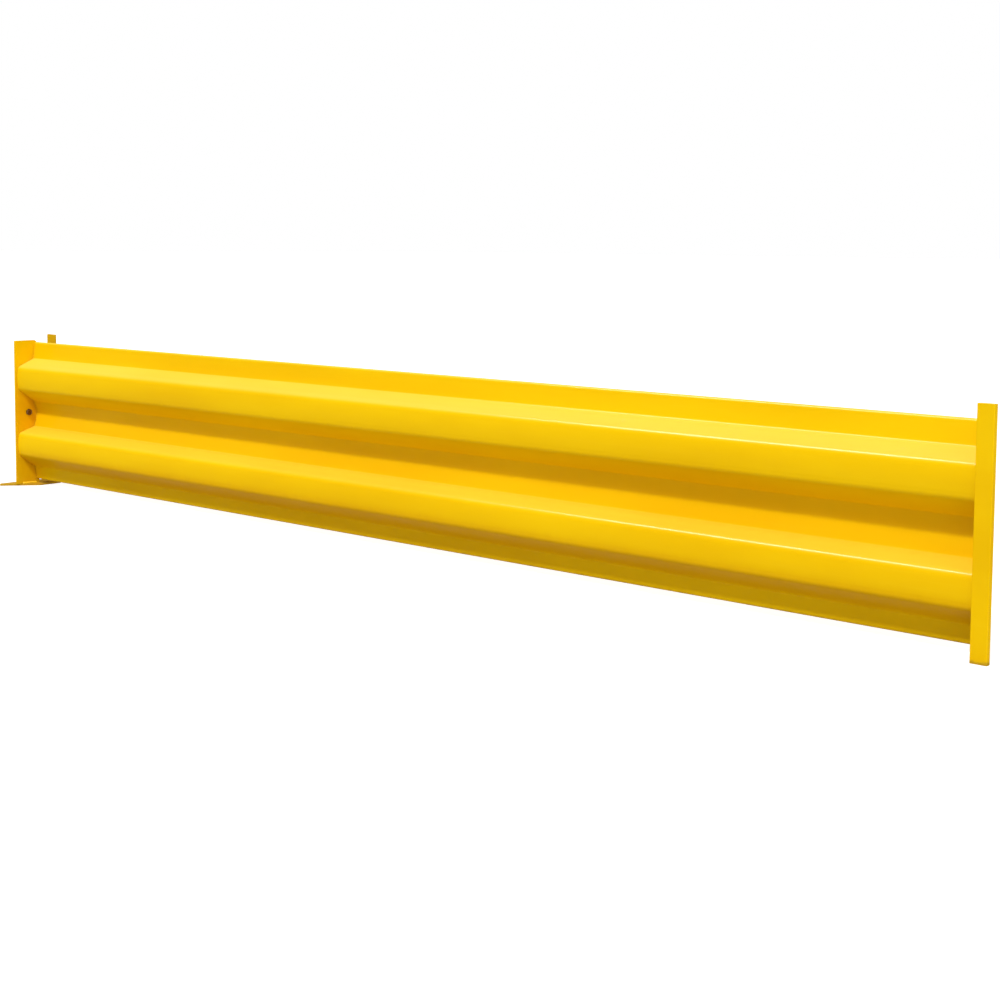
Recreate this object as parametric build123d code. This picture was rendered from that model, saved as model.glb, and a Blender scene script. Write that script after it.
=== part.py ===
from build123d import *
import os

# Steel guard rail section: one bay of double-rib rail with the pieces at its two ends.
# Millimetres. X runs along the rail to its near end, Y goes to the back, Z is up.
# Depths are counted from the end plate's front edge and lengths from its inner face,
# and the finished pieces are then moved so that the origin is on the floor, under their middle.

# Rail sheet. Each rib is a crowned crest between a short slope above and a longer one below
rail_length = 2343.0
sheet = 3.4
bottom_flange = 29.0
slope_below = 28.5
crest_height = 50.0
lower_slope_above = 13.0
upper_slope_above = 18.0
valley_height = 57.0
top_flange = 37.0
crest_setback = 2.4
crest_crown = 4.3
crown_share = 0.6
fold_depth = 46.0
flange_lean = 4.5
valley_lean = 7.0
bend_inside = 4.5
crest_radius = 13.0
valley_radius = 9.0
lip_return = 6.0
lip_radius = 5.0
rail_above_floor = 12.0

# Plate across the left end of the rail
plate_depth = 57.2
plate_thickness = 4.76
plate_above_rail = 4.5
plate_corner = 1.5
plate_rear_round = 10.0

# Flat bar up the right end of the rail, and the plate behind it that closes the rail's end
bar_width = 25.4
bar_thickness = 9.5
bar_above_rail = 26.5
bar_corner = 1.0
right_plate_depth = 38.1
right_plate_thickness = 4.76

# Foot under the left end, cut to a slanted nose at the front
foot_thickness = 3.2
foot_right = 27.0
foot_shoulder = 43.0
foot_back = 99.0
foot_back_left = 40.0
foot_back_right = 23.5
nose_left = 28.0
nose_front = 28.0
nose_slant_x = 13.0
nose_slant_y = 11.0
foot_corner = 3.0
anchor_hole = 14.3
anchor_right = 3.0
anchor_depth = 73.0

# Upright strap behind the rail, standing on the foot
strap_width = 31.75
strap_thickness = 3.2
strap_right = 23.0
strap_gap = 32.0
strap_above_rail = 16.4
strap_corner = 1.5

# Bolt through the left end plate
bolt_diameter = 7.9
bolt_clearance = 0.8
bolt_depth = 32.0
head_across = 12.7
head_height = 5.4
head_crown = 1.0
head_trim_radius = 7.2
washer_diameter = 17.5
washer_thickness = 1.6
nut_height = 6.7
bolt_end = 3.0
thread_chamfer = 1.0

# Weld beads
weld_leg = 4.0
weld_margin = 7.0
weld_shortest_run = 30.0

# Places worked out from the sizes
valley_bottom = bottom_flange + slope_below + crest_height + lower_slope_above
valley_top = valley_bottom + valley_height
rail_height = valley_top + slope_below + crest_height + upper_slope_above + top_flange
rail_top = rail_above_floor + rail_height
crown_radius = crown_share * crest_height ** 2 / (4 * crest_crown)
edge_depth = fold_depth + flange_lean
valley_depth = fold_depth + valley_lean
rail_back = max(edge_depth + lip_return, valley_depth + sheet)
strap_front = rail_back + strap_gap
bolt_height = (foot_thickness + rail_top + plate_above_rail) / 2


def rib_corners(foot, slope_above):
    """Corners of one rib's front surface that starts at the height of its foot, from below upwards."""
    low = foot + slope_below
    high = low + crest_height
    side = crest_setback + crest_crown
    return [
        (fold_depth, foot, bend_inside),
        (side, low, crest_radius),
        (crest_setback, (low + high) / 2, crown_radius),
        (side, high, crest_radius),
        (fold_depth, high + slope_above, bend_inside),
    ]


def front_corners():
    """Corners of the sheet's front surface as (depth, height, radius), from its lower edge up."""
    lower_edge = [(edge_depth + lip_return, 0, 0), (edge_depth, 0, lip_radius)]
    upper_edge = [(edge_depth, rail_height, lip_radius), (edge_depth + lip_return, rail_height, 0)]
    lower_rib = rib_corners(bottom_flange, lower_slope_above)
    middle = [(valley_depth, (valley_bottom + valley_top) / 2, valley_radius)]
    upper_rib = rib_corners(valley_top, upper_slope_above)
    return lower_edge + lower_rib + middle + upper_rib + upper_edge


def rail_beam():
    """The formed sheet: its section is the front line thickened to the back, pulled along the rail."""
    corners = front_corners()
    points = [(depth, rail_above_floor + height) for depth, height, radius in corners]
    radii = [radius for depth, height, radius in corners[1:-1]]
    front = FilletPolyline(*points, radius=radii)
    section = make_face(Plane.YZ * offset(front, amount=sheet, side=Side.RIGHT, closed=True))
    return extrude(section, amount=rail_length, dir=(1, 0, 0))


def left_end_plate():
    height = rail_top + plate_above_rail - foot_thickness
    corner = Align.MAX, Align.MIN, Align.MIN
    plate = Pos(0, 0, foot_thickness) * Box(plate_thickness, plate_depth, height, align=corner)
    plate = fillet(plate.faces().sort_by(Axis.Y)[0].edges().filter_by(Axis.X), plate_corner)
    plate = fillet(plate.faces().sort_by(Axis.Y)[-1].edges().sort_by(Axis.Z)[-1], plate_rear_round)
    hole = Cylinder((bolt_diameter + bolt_clearance) / 2, 3 * plate_thickness, rotation=(0, 90, 0))
    return plate - Pos(-plate_thickness / 2, bolt_depth, bolt_height) * hole


def right_end_bar():
    corner = Align.MIN, Align.MIN, Align.MIN
    bar = Box(bar_width, bar_thickness, rail_top + bar_above_rail, align=corner)
    bar = fillet(bar.edges().filter_by(Axis.Z), bar_corner)
    return Pos(rail_length, 0, 0) * bar


def right_end_plate():
    corner = Align.MIN, Align.MIN, Align.MIN
    plate = Box(right_plate_thickness, right_plate_depth, rail_height, align=corner)
    plate = fillet(plate.faces().sort_by(Axis.Y)[-1].edges().filter_by(Axis.X), plate_corner)
    return Pos(rail_length, bar_thickness, rail_above_floor) * plate


def left_foot():
    outline = Polyline(
        (-nose_left, -nose_front),
        (foot_right, foot_shoulder),
        (foot_back_right, foot_back),
        (-foot_back_left, foot_back),
        (-nose_left - nose_slant_x, nose_slant_y - nose_front),
        close=True,
    )
    foot = extrude(make_face(outline), amount=foot_thickness)
    foot = fillet(foot.edges().filter_by(Axis.Z), foot_corner)
    return foot - Pos(anchor_right, anchor_depth, foot_thickness / 2) * Cylinder(anchor_hole / 2, 3 * foot_thickness)


def rear_upright():
    height = rail_top + strap_above_rail - foot_thickness
    corner = Align.MAX, Align.MIN, Align.MIN
    strap = Box(strap_width, strap_thickness, height, align=corner)
    strap = fillet(strap.faces().sort_by(Axis.Z)[-1].edges().filter_by(Axis.Y), strap_corner)
    return Pos(strap_right, strap_front, foot_thickness) * strap


def on_bolt(part, along=0):
    """Turn a piece made along Z to point out through the end plate, that far along the bolt."""
    return Pos(-along, bolt_depth, bolt_height) * Rot(0, -90, 0) * part


def end_bolt():
    grip = plate_thickness + washer_thickness + nut_height + bolt_end
    shank = extrude(Circle(bolt_diameter / 2), amount=grip)
    shank = chamfer(shank.faces().sort_by(Axis.Z)[-1].edges(), thread_chamfer)
    head = extrude(RegularPolygon(head_across / 2, 6, major_radius=False), amount=-head_height)
    crown = extrude(Circle(head_trim_radius), amount=-head_height)
    crown = chamfer(crown.faces().sort_by(Axis.Z)[0].edges(), head_crown)
    return on_bolt(shank + (head & crown))


def end_washer():
    ring = Circle(washer_diameter / 2) - Circle((bolt_diameter + bolt_clearance) / 2)
    return on_bolt(extrude(ring, amount=washer_thickness), plate_thickness)


def end_nut():
    hexagon = RegularPolygon(head_across / 2, 6, major_radius=False) - Circle(bolt_diameter / 2)
    return on_bolt(extrude(hexagon, amount=nut_height), plate_thickness + washer_thickness)


def bead(start, along, leg_a, leg_b, length):
    """Straight fillet bead with its two legs of the weld's size along the given directions."""
    corners = [start, start + leg_a * weld_leg, start + leg_b * weld_leg]
    return extrude(make_face(Polyline(*corners, close=True)), amount=length, dir=along)


def rail_weld(face_x, inward, reach):
    """Beads behind the sheet's longer straight runs, on the plate at the rail's end, as deep as it reaches."""
    corners = [Vector(face_x, depth, rail_above_floor + height) for depth, height, radius in front_corners()]
    beads = []
    runs = [run for run in zip(corners[1:-2], corners[2:-1]) if (run[1] - run[0]).length > weld_shortest_run]
    for low, high in runs:
        along = (high - low).normalized()
        behind = Vector(0, along.Z, -along.Y)
        start = low + along * weld_margin + behind * sheet
        end = high - along * weld_margin + behind * sheet
        deepest = max(start.Y, end.Y) + weld_leg
        if deepest < reach:
            beads.append(bead(start, along, behind, Vector(inward, 0, 0), (end - start).length))
    return Compound(children=beads)


def bar_weld():
    """Bead up the corner between the bar's back and the outside of the plate behind it."""
    start = Vector(rail_length + right_plate_thickness, bar_thickness, rail_above_floor + weld_margin)
    return bead(start, Vector(0, 0, 1), Vector(1, 0, 0), Vector(0, 1, 0), rail_height - 2 * weld_margin)


def foot_weld():
    """Beads along both faces of the end plate, where it stands on the foot."""
    length = plate_depth - 3 * weld_margin
    beads = []
    for face_x, out in ((0, 1), (-plate_thickness, -1)):
        start = Vector(face_x, 2 * weld_margin, foot_thickness)
        beads.append(bead(start, Vector(0, 1, 0), Vector(out, 0, 0), Vector(0, 0, 1), length))
    return Compound(children=beads)


def upright_weld():
    """Beads along the front and the back of the upright, on top of the foot."""
    length = strap_width - 2 * weld_margin
    beads = []
    for face_y, out in ((strap_front, -1), (strap_front + strap_thickness, 1)):
        start = Vector(strap_right - strap_width + weld_margin, face_y, foot_thickness)
        beads.append(bead(start, Vector(1, 0, 0), Vector(0, out, 0), Vector(0, 0, 1), length))
    return Compound(children=beads)


pieces = {
    "rail_beam": rail_beam(),
    "left_end_plate": left_end_plate(),
    "right_end_bar": right_end_bar(),
    "right_end_plate": right_end_plate(),
    "left_foot": left_foot(),
    "rear_upright": rear_upright(),
    "end_bolt": end_bolt(),
    "end_washer": end_washer(),
    "end_nut": end_nut(),
    "left_rail_weld": rail_weld(0, 1, plate_depth),
    "right_rail_weld": rail_weld(rail_length, -1, bar_thickness + right_plate_depth),
    "bar_weld": bar_weld(),
    "foot_weld": foot_weld(),
    "upright_weld": upright_weld(),
}

boxes = [piece.bounding_box() for piece in pieces.values()]
x_middle = (min(box.min.X for box in boxes) + max(box.max.X for box in boxes)) / 2
y_middle = (min(box.min.Y for box in boxes) + max(box.max.Y for box in boxes)) / 2
print("the origin is", x_middle, "along the rail and", y_middle, "behind the plate's front edge")

os.makedirs("parts", exist_ok=True)
for name, piece in pieces.items():
    placed = Pos(-x_middle, -y_middle, 0) * piece
    placed.label = name
    export_step(placed, "parts/" + name + ".step")
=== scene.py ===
import math

import bmesh
import bpy
from mathutils import Matrix, Vector


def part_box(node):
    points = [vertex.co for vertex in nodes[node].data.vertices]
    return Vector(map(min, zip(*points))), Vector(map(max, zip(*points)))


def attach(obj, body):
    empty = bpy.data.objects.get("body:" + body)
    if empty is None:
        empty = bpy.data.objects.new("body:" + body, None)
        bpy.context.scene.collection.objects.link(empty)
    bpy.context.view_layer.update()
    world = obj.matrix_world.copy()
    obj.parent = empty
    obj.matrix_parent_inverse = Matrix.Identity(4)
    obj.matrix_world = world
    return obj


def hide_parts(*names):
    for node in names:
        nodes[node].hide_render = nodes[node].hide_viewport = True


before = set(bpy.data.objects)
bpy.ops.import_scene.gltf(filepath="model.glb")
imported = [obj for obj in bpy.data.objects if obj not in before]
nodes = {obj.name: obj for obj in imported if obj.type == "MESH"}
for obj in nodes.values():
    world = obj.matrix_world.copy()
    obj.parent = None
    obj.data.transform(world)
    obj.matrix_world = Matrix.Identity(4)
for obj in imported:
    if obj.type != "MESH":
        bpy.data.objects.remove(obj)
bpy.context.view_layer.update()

# Lengths are in metres, apart from the camera's lens and sensor in millimetres. Angles are in degrees

# Camera, solved from the photograph's edges
CAMERA_PLACE = Vector((2.26679, -2.13156, 0.5561))
CAMERA_TURN = 42.8995
CAMERA_TILT = -4.933
CAMERA_ROLL = 0.4448
CAMERA_LENS = 62.33
CAMERA_SENSOR = 36.0
CAMERA_SHIFT = -0.1085

# Light. The direction points from the object to the lamp
KEY_DIRECTION = Vector((0.22, -0.60, 0.768))
KEY_STRENGTH = 2.6
KEY_ANGLE = 6.0
SIDE_DIRECTION = Vector((1.0, -0.15, 0.25))
SIDE_STRENGTH = 1.0
SIDE_ANGLE = 60.0
BACK_DIRECTION = Vector((-0.30, 1.0, 0.42))
BACK_STRENGTH = 1.3
BACK_ANGLE = 30.0
STRIP_PLACE = Vector((-1.1, -0.9, 3.0))
STRIP_SIZE = (1.8, 0.6)
STRIP_POWER = 650
AMBIENT = (0.34, 0.34, 0.34)

# Floor
FLOOR_REACH = 60.0
FLOOR_DROP = 0.0002
FLOOR_SHOWN = (0.50, 0.50, 0.50)
FLOOR_BOUNCE = (0.52, 0.52, 0.50)
FLOOR_GLOW = 0.76

# Colours
WHITE = (1.0, 1.0, 1.0)
YELLOW_LOW = (0.84, 0.490, 0.0012)
YELLOW_HIGH = (0.90, 0.560, 0.0020)
PALE_STREAK = (0.95, 0.68, 0.03)
# Dust colour, also the painted sheen on faces that look up
DUST_AND_SHEEN = (0.96, 0.65, 0.070)
# Dark of specks and worn edges, also of the painted shade in corners and of the darkening near the floor
DIRT_AND_SHADE = (0.30, 0.17, 0.020)
# Brown of the painted shade under the ribs and towards the floor
PAINTED_SHADE_BROWN = (0.66, 0.27, 0.002)
STEEL_BROWN = (0.11, 0.050, 0.014)
STEEL_PALE = (0.26, 0.155, 0.08)
STEEL_RUBBED = (0.45, 0.42, 0.40)

# Marks on the paint, among them painted shade and a painted sheen. One with two heights fades between them,
# and one with four rises and then falls
# Heights over which the painted sheen on upward faces grows
DUST_AND_SHEEN_RISE = (0.12, 0.24)
# Painted shade below the lower and the upper rib, and painted shade that grows towards the floor
LOWER_RIB_SHADE = (0.038, 0.048, 0.058, 0.090)
UPPER_RIB_SHADE = (0.126, 0.134, 0.157, 0.163)
UPPER_SHADE_SHARE = 0.3
LOW_SHADE_FALL = (0.17, 0.30)
RAGGED_EDGE = 0.002
# Heights up to which the paint gets darker near the floor
GENERAL_FLOOR_DARKENING_TOP = 0.006
RAIL_FLOOR_DARKENING_TOP = 0.0165
# Reach of the painted shade in corners
CORNER_SHADE_REACH = 0.022
WORN_PAINT_EDGE = 0.0012
WORN_STEEL_EDGE = 0.0006
COAT = 0.07

# Weld beads
RIPPLE_PITCH = 0.0024
RIPPLE_STEP = 0.0005
RIPPLE_CRESCENT = 0.0012
RIPPLE_SHARE = 0.16
BEAD_TAPER = 0.003
BEAD_END_SHARE = 0.45
BEAD_CROWN = 0.30
BEAD_SIDES = 8
BEAD_STEPS_MIN = 8
BEAD_SMOOTH = 50

# Bolt. The face of its head is dished: distances from its top, each with a radius
HEAD_FACE = ((0.0003, 0.0030), (0.0003, 0.0042), (0.0, 0.0048), (0.0001, 0.0056))
HEAD_CHAMFER = 0.0010
HEAD_BREAK = 0.0003
HEAD_HEIGHT = 0.0054
HEX_FLAT = 0.00635
HEX_TRIM = 0.0072
BOLT_RADIUS = 0.00395
BOLT_PITCH = 0.00141
THREAD_DEPTH = 0.00055
THREAD_LENGTH = 0.012
THREAD_START = 0.0005
THREAD_END = 0.0009
THREAD_END_SLOPE = 0.8
THREAD_STEPS = 110
TURN_STEPS = 72
BOLT_SMOOTH = 25


# Node helpers

def new_material(name):
    material = bpy.data.materials.new(name)
    material.use_nodes = True
    tree = material.node_tree
    shader = next(n for n in tree.nodes if n.type == "BSDF_PRINCIPLED")
    return material, tree, shader


def add(tree, kind, inputs=None, **settings):
    node = tree.nodes.new(kind)
    for key, value in settings.items():
        setattr(node, key, value)
    for key, value in (inputs or {}).items():
        if isinstance(value, bpy.types.NodeSocket):
            tree.links.new(value, node.inputs[key])
        else:
            node.inputs[key].default_value = value
    return node


def math_node(tree, operation, a, b=0.0, clamp=False):
    return add(tree, "ShaderNodeMath", {0: a, 1: b}, operation=operation, use_clamp=clamp).outputs[0]


def noise(tree, place, scale, detail=3.0, roughness=0.5):
    inputs = {"Vector": place, "Scale": scale, "Detail": detail, "Roughness": roughness}
    return add(tree, "ShaderNodeTexNoise", inputs).outputs["Fac"]


def stretched(tree, place, scale):
    return add(tree, "ShaderNodeMapping", {"Vector": place, "Scale": scale}).outputs[0]


def between(tree, value, low, high, to_low=0.0, to_high=1.0):
    inputs = {"Value": value, "From Min": low, "From Max": high, "To Min": to_low, "To Max": to_high}
    return add(tree, "ShaderNodeMapRange", inputs, interpolation_type="SMOOTHSTEP").outputs[0]


def band(tree, height, limits, strength):
    """Rises over the first two heights and falls from its strength to nothing over the last two."""
    begins, full, ends, gone = limits
    rise = between(tree, height, begins, full)
    return math_node(tree, "MULTIPLY", rise, between(tree, height, ends, gone, strength, 0.0))


def strongest(tree, marks):
    combined, *rest = marks
    for mark in rest:
        combined = math_node(tree, "MAXIMUM", combined, mark)
    return combined


def mixed(tree, share, first, second):
    node = tree.nodes.new("ShaderNodeMix")
    node.data_type = "RGBA"
    for name, value in (("Factor", share), ("A", first), ("B", second)):
        kind = "VALUE" if name == "Factor" else "RGBA"
        socket = next(s for s in node.inputs if s.enabled and s.name == name and s.type == kind)
        if isinstance(value, bpy.types.NodeSocket):
            tree.links.new(value, socket)
        else:
            socket.default_value = value if name == "Factor" else (*value, 1.0)
    return next(s for s in node.outputs if s.type == "RGBA" and s.enabled)


def edge_mask(tree, radius):
    """Near 1 along sharp edges: where a rounded normal turns away from the true one."""
    rounded = add(tree, "ShaderNodeBevel", {"Radius": radius}, samples=4).outputs[0]
    true = add(tree, "ShaderNodeNewGeometry").outputs["Normal"]
    agree = add(tree, "ShaderNodeVectorMath", {0: rounded, 1: true}, operation="DOT_PRODUCT").outputs["Value"]
    return between(tree, agree, 0.90, 0.995, 1.0, 0.0)


# Paint and steel

def bare_yellow(tree, place, cloud, shade):
    """Two close yellows that drift along the rolling, with fine pale streaks."""
    low, high = (tuple(part * shade for part in colour) for colour in (YELLOW_LOW, YELLOW_HIGH))
    colour = mixed(tree, between(tree, cloud, 0.3, 0.7), low, high)
    streaks = noise(tree, stretched(tree, place, (3.0, 260.0, 260.0)), 1.0, 2.0)
    return mixed(tree, between(tree, streaks, 0.62, 0.80, 0.0, 0.10), colour, PALE_STREAK)


def dust_and_sheen_share(tree, height, cloud):
    """Dust and a painted sheen of the overhead light on the faces that look up, more of both higher up."""
    normal = add(tree, "ShaderNodeNewGeometry").outputs["Normal"]
    upward = add(tree, "ShaderNodeSeparateXYZ", {0: normal}).outputs["Z"]
    level = between(tree, height, *DUST_AND_SHEEN_RISE, 0.45, 0.9)
    upward_dust_and_sheen = math_node(tree, "MULTIPLY", between(tree, upward, 0.35, 0.95), level)
    return math_node(tree, "MULTIPLY", upward_dust_and_sheen, between(tree, cloud, 0.3, 0.7, 0.75, 1.0))


def painted_shade_share(tree, height, ragged_height, rib_shade, low_shade):
    """Painted shade below each rib, and painted shade that grows towards the floor."""
    lower = band(tree, ragged_height, LOWER_RIB_SHADE, rib_shade)
    upper = band(tree, ragged_height, UPPER_RIB_SHADE, UPPER_SHADE_SHARE * rib_shade)
    return strongest(tree, (lower, upper, between(tree, height, *LOW_SHADE_FALL, low_shade, 0.0)))


def dirt_and_shade_share(tree, place, ragged_height, floor_darkening, floor_darkening_top):
    """Darker near the floor, painted shade in corners, dark specks and worn edges."""
    near_floor = between(tree, ragged_height, 0.5 * floor_darkening_top, floor_darkening_top, floor_darkening, 0.0)
    openness = add(tree, "ShaderNodeAmbientOcclusion", {"Distance": CORNER_SHADE_REACH}, samples=6).outputs["AO"]
    # Painted shade in corners, where the surface sees little of its surroundings
    corners = between(tree, openness, 0.25, 0.64, 0.45, 0.0)
    specks = between(tree, noise(tree, place, 520.0, 4.0, 0.6), 0.70, 0.78, 0.0, 0.25)
    patches = between(tree, noise(tree, place, 160.0, 4.0), 0.45, 0.7, 0.0, 0.35)
    worn = math_node(tree, "MULTIPLY", edge_mask(tree, WORN_PAINT_EDGE), patches)
    return strongest(tree, (near_floor, corners, specks, worn))


def paint_relief(tree, place):
    """Fine peel on long, low waves along the rolling."""
    peel = noise(tree, place, 380.0, 2.0)
    waves = noise(tree, stretched(tree, place, (4.0, 60.0, 60.0)), 1.0, 2.0)
    fine = add(tree, "ShaderNodeBump", {"Height": peel, "Distance": 0.00001, "Strength": 0.4}).outputs[0]
    inputs = {"Height": waves, "Distance": 0.0003, "Strength": 0.25, "Normal": fine}
    return add(tree, "ShaderNodeBump", inputs).outputs[0]


def yellow_paint(name, shade=1.0, floor_darkening=0.6, floor_darkening_top=GENERAL_FLOOR_DARKENING_TOP, rib_shade=0.0, low_shade=0.0):
    """Gloss powder coat that has been outdoors: yellow, then a dusty painted sheen on upward faces, painted
    shade under the ribs and low down, and specks, worn edges, painted shade in corners and darkening near the
    floor over it.
    """
    material, tree, shader = new_material(name)
    place = add(tree, "ShaderNodeTexCoord").outputs["Object"]
    height = add(tree, "ShaderNodeSeparateXYZ", {0: place}).outputs["Z"]
    rags = between(tree, noise(tree, place, 60.0, 5.0, 0.65), 0.2, 0.8, RAGGED_EDGE, -RAGGED_EDGE)
    ragged_height = math_node(tree, "ADD", height, rags)
    cloud = noise(tree, stretched(tree, place, (2.0, 9.0, 9.0)), 1.0, 4.0)
    dirt_and_shade = dirt_and_shade_share(tree, place, ragged_height, floor_darkening, floor_darkening_top)

    colour = bare_yellow(tree, place, cloud, shade)
    # Paler on upward faces: Dust and a painted sheen. Then painted shade under the ribs and low down, then
    # specks, worn edges, painted shade in corners and darkening near the floor
    colour = mixed(tree, dust_and_sheen_share(tree, height, cloud), colour, DUST_AND_SHEEN)
    colour = mixed(tree, painted_shade_share(tree, height, ragged_height, rib_shade, low_shade), colour, PAINTED_SHADE_BROWN)
    tree.links.new(mixed(tree, dirt_and_shade, colour, DIRT_AND_SHADE), shader.inputs["Base Color"])

    rough = between(tree, noise(tree, place, 35.0, 4.0), 0.3, 0.7, 0.18, 0.27)
    rough = math_node(tree, "ADD", rough, math_node(tree, "MULTIPLY", dirt_and_shade, 0.45), clamp=True)
    tree.links.new(rough, shader.inputs["Roughness"])
    tree.links.new(rough, shader.inputs["Coat Roughness"])
    shader.inputs["Specular IOR Level"].default_value = 0.0
    shader.inputs["Coat Weight"].default_value = COAT
    tree.links.new(paint_relief(tree, place), shader.inputs["Normal"])
    return material


def dark_steel():
    """Zinc plating gone dark and brown, paler where it is rubbed."""
    material, tree, shader = new_material("bare_steel")
    place = add(tree, "ShaderNodeTexCoord").outputs["Object"]
    spots = noise(tree, place, 420.0, 5.0, 0.6)
    colour = mixed(tree, between(tree, spots, 0.35, 0.7), STEEL_BROWN, STEEL_PALE)
    patches = between(tree, spots, 0.3, 0.6, 0.2, 0.8)
    rubbed = math_node(tree, "MULTIPLY", edge_mask(tree, WORN_STEEL_EDGE), patches)
    tree.links.new(mixed(tree, rubbed, colour, STEEL_RUBBED), shader.inputs["Base Color"])
    shader.inputs["Metallic"].default_value = 1.0
    tree.links.new(between(tree, spots, 0.3, 0.7, 0.50, 0.32), shader.inputs["Roughness"])
    relief = add(tree, "ShaderNodeBump", {"Height": spots, "Distance": 0.00008, "Strength": 0.5}).outputs[0]
    tree.links.new(relief, shader.inputs["Normal"])
    return material


paint = yellow_paint("yellow_paint")
# The rail: painted shade under its ribs and a darker bottom edge
rail_paint = yellow_paint("yellow_paint_rail", floor_darkening=0.9, floor_darkening_top=RAIL_FLOOR_DARKENING_TOP, rib_shade=0.5)
# The upright: the same yellow, darker
strap_paint = yellow_paint("yellow_paint_strap", shade=0.76)
# Plate and foot: painted shade towards the floor, over all of the foot
plate_paint = yellow_paint("yellow_paint_plate", low_shade=0.35)
steel = dark_steel()
finishes = {
    "rail_beam": rail_paint,
    "rear_upright": strap_paint,
    "left_end_plate": plate_paint,
    "left_foot": plate_paint,
    "end_bolt": steel,
    "end_washer": steel,
    "end_nut": steel,
}
for name, node in nodes.items():
    node.data.materials.clear()
    node.data.materials.append(finishes.get(name, paint))


# Weld beads and bolt, each in place of its plain CAD node

def new_piece(name, vertices, faces, node_name, smooth):
    """Closed mesh that rides on the section and stands in for a CAD node; edges past an angle stay sharp."""
    mesh = bpy.data.meshes.new(name)
    mesh.from_pydata(vertices, [], faces)
    shape = bmesh.new()
    shape.from_mesh(mesh)
    bmesh.ops.recalc_face_normals(shape, faces=shape.faces)
    shape.to_mesh(mesh)
    shape.free()
    mesh.materials.append(finishes.get(node_name, paint))
    mesh.polygons.foreach_set("use_smooth", [True] * len(mesh.polygons))
    mesh.set_sharp_from_angle(angle=math.radians(smooth))
    piece = bpy.data.objects.new(name, mesh)
    bpy.context.scene.collection.objects.link(piece)
    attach(piece, "root")
    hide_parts(node_name)


def separate_parts(mesh):
    """Corner points of each separate body of a mesh."""
    place = [tuple(round(c, 6) for c in vertex.co) for vertex in mesh.vertices]
    linked = {}
    for edge in mesh.edges:
        a, b = (place[i] for i in edge.vertices)
        linked.setdefault(a, set()).add(b)
        linked.setdefault(b, set()).add(a)
    waiting = set(linked)
    while waiting:
        found, reached = set(), [min(waiting)]
        while reached:
            point = reached.pop()
            if point not in found:
                found.add(point)
                reached += linked[point]
        waiting -= found
        yield [Vector(point) for point in sorted(found)]


def bead_shape(points):
    """Right-angled corner, far end's offset and the two legs of a straight bead with six corners."""
    far = max(points, key=lambda p: (p - points[0]).length)
    near = [p for p in points if (p - points[0]).length < (p - far).length]
    rest = [p for p in points if p not in near]
    run = sum(rest, Vector()) / len(rest) - sum(near, Vector()) / len(near)

    def squareness(p):
        a, b = (q - p for q in near if q != p)
        return abs(a.dot(b))

    corner = min(near, key=squareness)
    return corner, run, [q - corner for q in near if q != corner]


def bead_reach(leg_a, leg_b, share, walked):
    """From the bead's corner to its face, at a share of the way from leg to leg, that far along it."""
    crown = math.sin(math.pi * share)
    ripple = 1 - abs(math.sin(math.pi * (walked + RIPPLE_CRESCENT * crown) / RIPPLE_PITCH))
    swell = crown * (BEAD_CROWN - RIPPLE_SHARE * ripple)
    return leg_a * (1 - share) + leg_b * share + (leg_a + leg_b) / 2 * swell


def rippled_welds(node_name):
    """Convex beads with crescent ripples and tapered ends."""
    vertices, faces = [], []
    ring = BEAD_SIDES + 2
    for points in separate_parts(nodes[node_name].data):
        corner, run, (leg_a, leg_b) = bead_shape(points)
        length, along = run.length, run.normalized()
        steps = max(BEAD_STEPS_MIN, round(length / RIPPLE_STEP))
        first = len(vertices)
        for i in range(steps + 1):
            walked = length * i / steps
            taper = min(1.0, min(walked, length - walked) / BEAD_TAPER)
            size = BEAD_END_SHARE + (1 - BEAD_END_SHARE) * math.sqrt(taper * (2 - taper))
            for j in range(BEAD_SIDES + 1):
                reach = bead_reach(leg_a, leg_b, j / BEAD_SIDES, walked)
                vertices.append(corner + along * walked + reach * size)
            vertices.append(corner + along * walked)
        for i in range(steps):
            for j in range(ring):
                a, b = first + i * ring + j, first + i * ring + (j + 1) % ring
                faces.append((a, b, b + ring, a + ring))
        last = first + steps * ring
        faces += [tuple(range(first, first + ring)), tuple(range(last, last + ring))]
    new_piece(node_name + "_beads", vertices, faces, node_name, BEAD_SMOOTH)


def turned(start, rings):
    """Closed body from a start along -X. Each ring is a distance along and a radius for every angle."""
    angles = [math.tau * k / TURN_STEPS for k in range(TURN_STEPS)]
    vertices, faces = [], []
    for along, radius in rings:
        for angle in angles:
            across = radius(angle) * Vector((0, math.cos(angle), math.sin(angle)))
            vertices.append(start + across + Vector((-along, 0, 0)))
    for i in range(len(rings) - 1):
        for k in range(TURN_STEPS):
            a, b = i * TURN_STEPS + k, i * TURN_STEPS + (k + 1) % TURN_STEPS
            faces.append((a, a + TURN_STEPS, b + TURN_STEPS, b))
    last = len(vertices) - TURN_STEPS
    faces += [tuple(range(TURN_STEPS)), tuple(range(last, last + TURN_STEPS))]
    return vertices, faces


def hexagon(trim):
    return lambda angle: min(HEX_FLAT / math.cos((angle + math.pi / 6) % (math.pi / 3) - math.pi / 6), trim)


def circle(radius):
    return lambda angle: radius


def thread(along, radius):
    return lambda angle: radius - THREAD_DEPTH * abs(2 * ((along / BOLT_PITCH - angle / math.tau) % 1.0) - 1)


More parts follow.
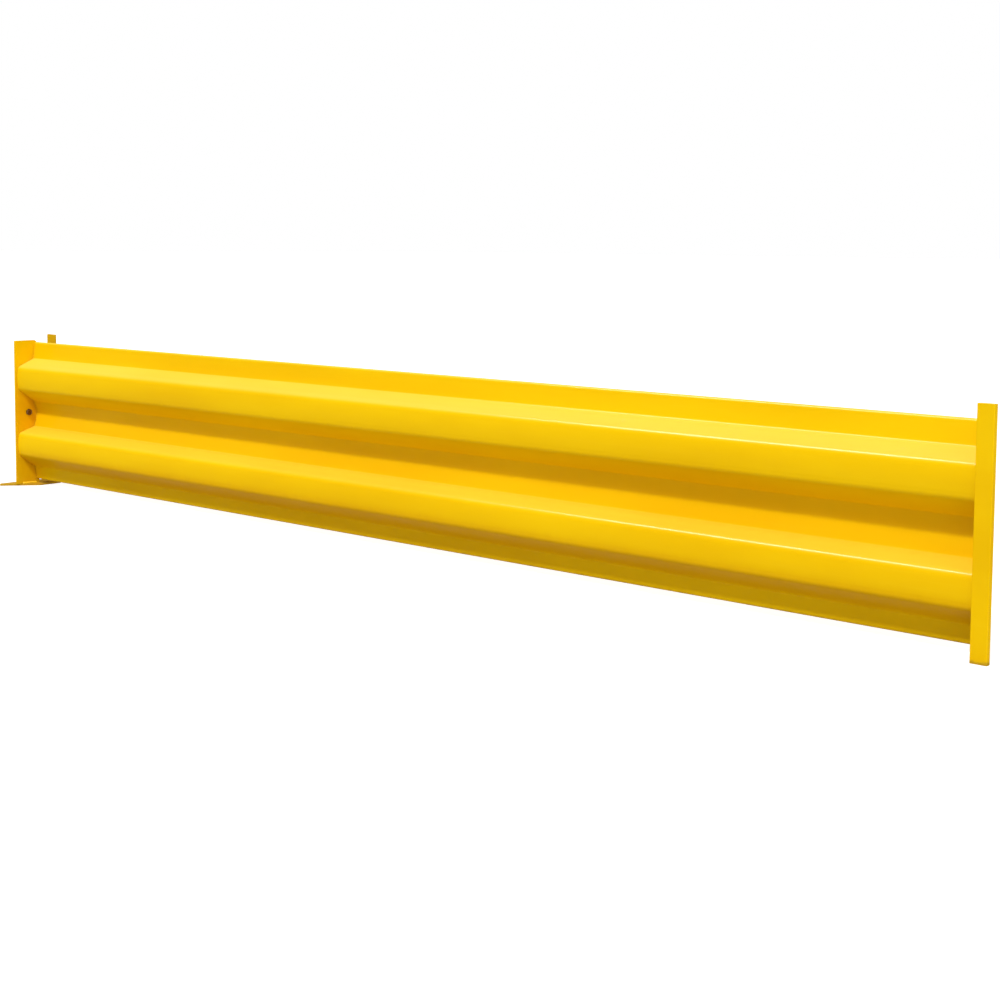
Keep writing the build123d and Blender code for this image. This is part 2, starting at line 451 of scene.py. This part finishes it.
def threaded_bolt():
    """Dished and chamfered hexagon head, plain shank and a thread that tapers at its end."""
    low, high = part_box("end_bolt")
    start = Vector((high.x, (low.y + high.y) / 2, (low.z + high.z) / 2))
    length = high.x - low.x
    rings = [(along, circle(radius)) for along, radius in HEAD_FACE]
    rings += [(HEAD_CHAMFER, hexagon(HEX_TRIM)), (HEAD_HEIGHT - HEAD_BREAK, hexagon(HEX_TRIM))]
    rings += [(HEAD_HEIGHT, hexagon(HEX_TRIM - HEAD_BREAK)), (HEAD_HEIGHT, circle(BOLT_RADIUS))]
    rings.append((length - THREAD_LENGTH - THREAD_START, circle(BOLT_RADIUS)))
    for i in range(THREAD_STEPS + 1):
        left = THREAD_LENGTH * (1 - i / THREAD_STEPS)
        radius = BOLT_RADIUS - THREAD_END_SLOPE * max(0.0, THREAD_END - left)
        rings.append((length - left, thread(length - left, radius)))
    vertices, faces = turned(start, rings)
    new_piece("threaded_bolt", vertices, faces, "end_bolt", BOLT_SMOOTH)


for weld in ("left_rail_weld", "right_rail_weld", "bar_weld", "foot_weld", "upright_weld"):
    rippled_welds(weld)
threaded_bolt()


# Surroundings

def seen_directly(tree):
    """1 for rays that show the background: the camera's own, and those in gloss and glass."""
    path = add(tree, "ShaderNodeLightPath")
    shown = math_node(tree, "MAXIMUM", path.outputs["Is Camera Ray"], path.outputs["Is Glossy Ray"])
    return math_node(tree, "MAXIMUM", shown, path.outputs["Is Transmission Ray"])


def surroundings():
    world = bpy.data.worlds.new("surroundings")
    bpy.context.scene.world = world
    world.use_nodes = True
    tree = world.node_tree
    background = next(n for n in tree.nodes if n.type == "BACKGROUND")
    tree.links.new(mixed(tree, seen_directly(tree), AMBIENT, WHITE), background.inputs["Color"])


def floor():
    """White where it is seen, plain and pale where it only throws light back."""
    mesh = bpy.data.meshes.new("floor")
    corners = [(-1, -1), (1, -1), (1, 1), (-1, 1)]
    mesh.from_pydata([(FLOOR_REACH * x, FLOOR_REACH * y, 0) for x, y in corners], [], [(0, 1, 2, 3)])
    ground = bpy.data.objects.new("floor", mesh)
    ground.location.z = -FLOOR_DROP
    bpy.context.scene.collection.objects.link(ground)
    material, tree, shader = new_material("pale_floor")
    tree.nodes.remove(shader)
    shown = seen_directly(tree)
    diffuse = add(tree, "ShaderNodeBsdfDiffuse", {"Color": mixed(tree, shown, FLOOR_BOUNCE, FLOOR_SHOWN)})
    strength = math_node(tree, "MULTIPLY", shown, FLOOR_GLOW)
    glow = add(tree, "ShaderNodeEmission", {"Color": (*WHITE, 1.0), "Strength": strength})
    both = add(tree, "ShaderNodeAddShader", {0: diffuse.outputs[0], 1: glow.outputs[0]})
    output = next(n for n in tree.nodes if n.type == "OUTPUT_MATERIAL")
    tree.links.new(both.outputs[0], output.inputs["Surface"])
    mesh.materials.append(material)


def far_light(name, direction, strength, angle):
    lamp = bpy.data.lights.new(name, "SUN")
    lamp.energy = strength
    lamp.angle = math.radians(angle)
    holder = bpy.data.objects.new(name, lamp)
    holder.rotation_euler = (-direction).to_track_quat("-Z", "Y").to_euler()
    bpy.context.scene.collection.objects.link(holder)


def strip_light():
    """Long lamp that faces straight down, for the lines of light on the bends."""
    lamp = bpy.data.lights.new("strip", "AREA")
    lamp.shape = "RECTANGLE"
    lamp.size, lamp.size_y = STRIP_SIZE
    lamp.energy = STRIP_POWER
    holder = bpy.data.objects.new("strip", lamp)
    holder.location = STRIP_PLACE
    holder.visible_diffuse = False
    bpy.context.scene.collection.objects.link(holder)


def camera():
    turn, tilt, roll = (math.radians(v) for v in (CAMERA_TURN, CAMERA_TILT, CAMERA_ROLL))
    ahead = Vector((-math.sin(turn) * math.cos(tilt), math.cos(turn) * math.cos(tilt), math.sin(tilt)))
    level = Vector((math.cos(turn), math.sin(turn), 0))
    upward = level.cross(ahead)
    right = math.cos(roll) * level + math.sin(roll) * upward
    up = -math.sin(roll) * level + math.cos(roll) * upward
    lens = bpy.data.cameras.new("camera")
    lens.lens = CAMERA_LENS
    lens.sensor_width = CAMERA_SENSOR
    lens.sensor_fit = "HORIZONTAL"
    lens.shift_y = CAMERA_SHIFT
    lens.clip_start = 0.05
    lens.clip_end = 200.0
    eye = bpy.data.objects.new("camera", lens)
    facing = Matrix((right, up, -ahead)).transposed().to_4x4()
    eye.matrix_world = Matrix.Translation(CAMERA_PLACE) @ facing
    bpy.context.scene.collection.objects.link(eye)
    bpy.context.scene.camera = eye


surroundings()
floor()
far_light("key", KEY_DIRECTION, KEY_STRENGTH, KEY_ANGLE)
far_light("side", SIDE_DIRECTION, SIDE_STRENGTH, SIDE_ANGLE)
far_light("back", BACK_DIRECTION, BACK_STRENGTH, BACK_ANGLE)
strip_light()
camera()
bpy.context.scene.view_settings.view_transform = "Standard"
